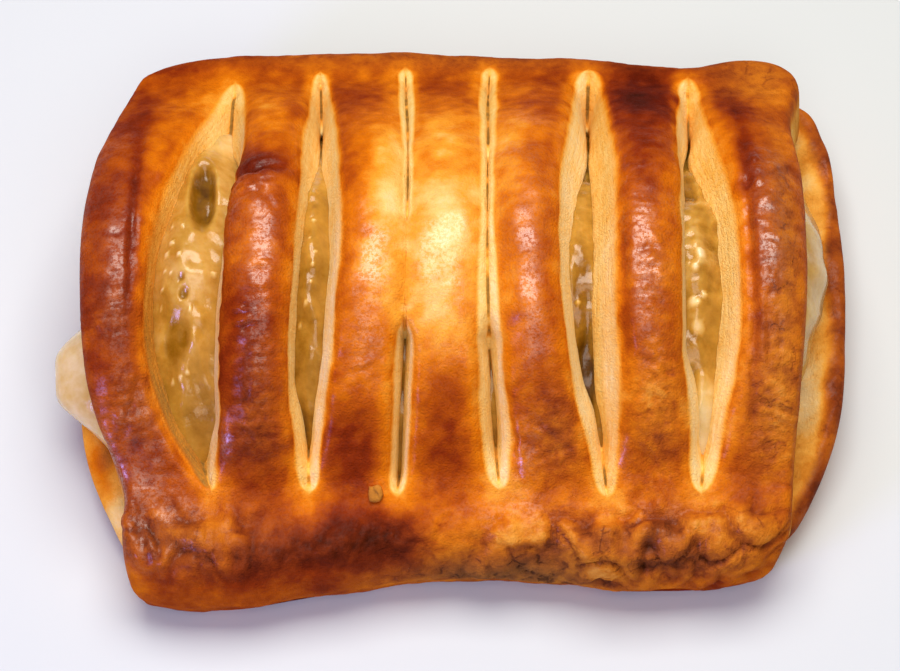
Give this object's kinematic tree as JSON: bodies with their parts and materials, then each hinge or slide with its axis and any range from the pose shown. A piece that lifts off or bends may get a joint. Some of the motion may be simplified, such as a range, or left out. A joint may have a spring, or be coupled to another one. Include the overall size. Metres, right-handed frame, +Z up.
{
  "type": "filled danish pastry",
  "caption": "Rectangular danish pastry with a slashed, arched lid over a pale custard filling that shows in the cuts and at both open ends.",
  "frame": {"origin": "middle of the pastry's own box in plan, on the surface it rests on", "axes": "+X from the left open end to the right one, +Y from the front rim to the back rim, +Z up"},
  "size_m": [0.1216, 0.0932, 0.038],
  "materials": {
    "crust": "egg-washed baked dough, satin to glossy",
    "filling": "moist translucent custard"
  },
  "bodies": {
    "root": {"crust": "crust", "filling": "filling"}
  },
  "joints": []
}
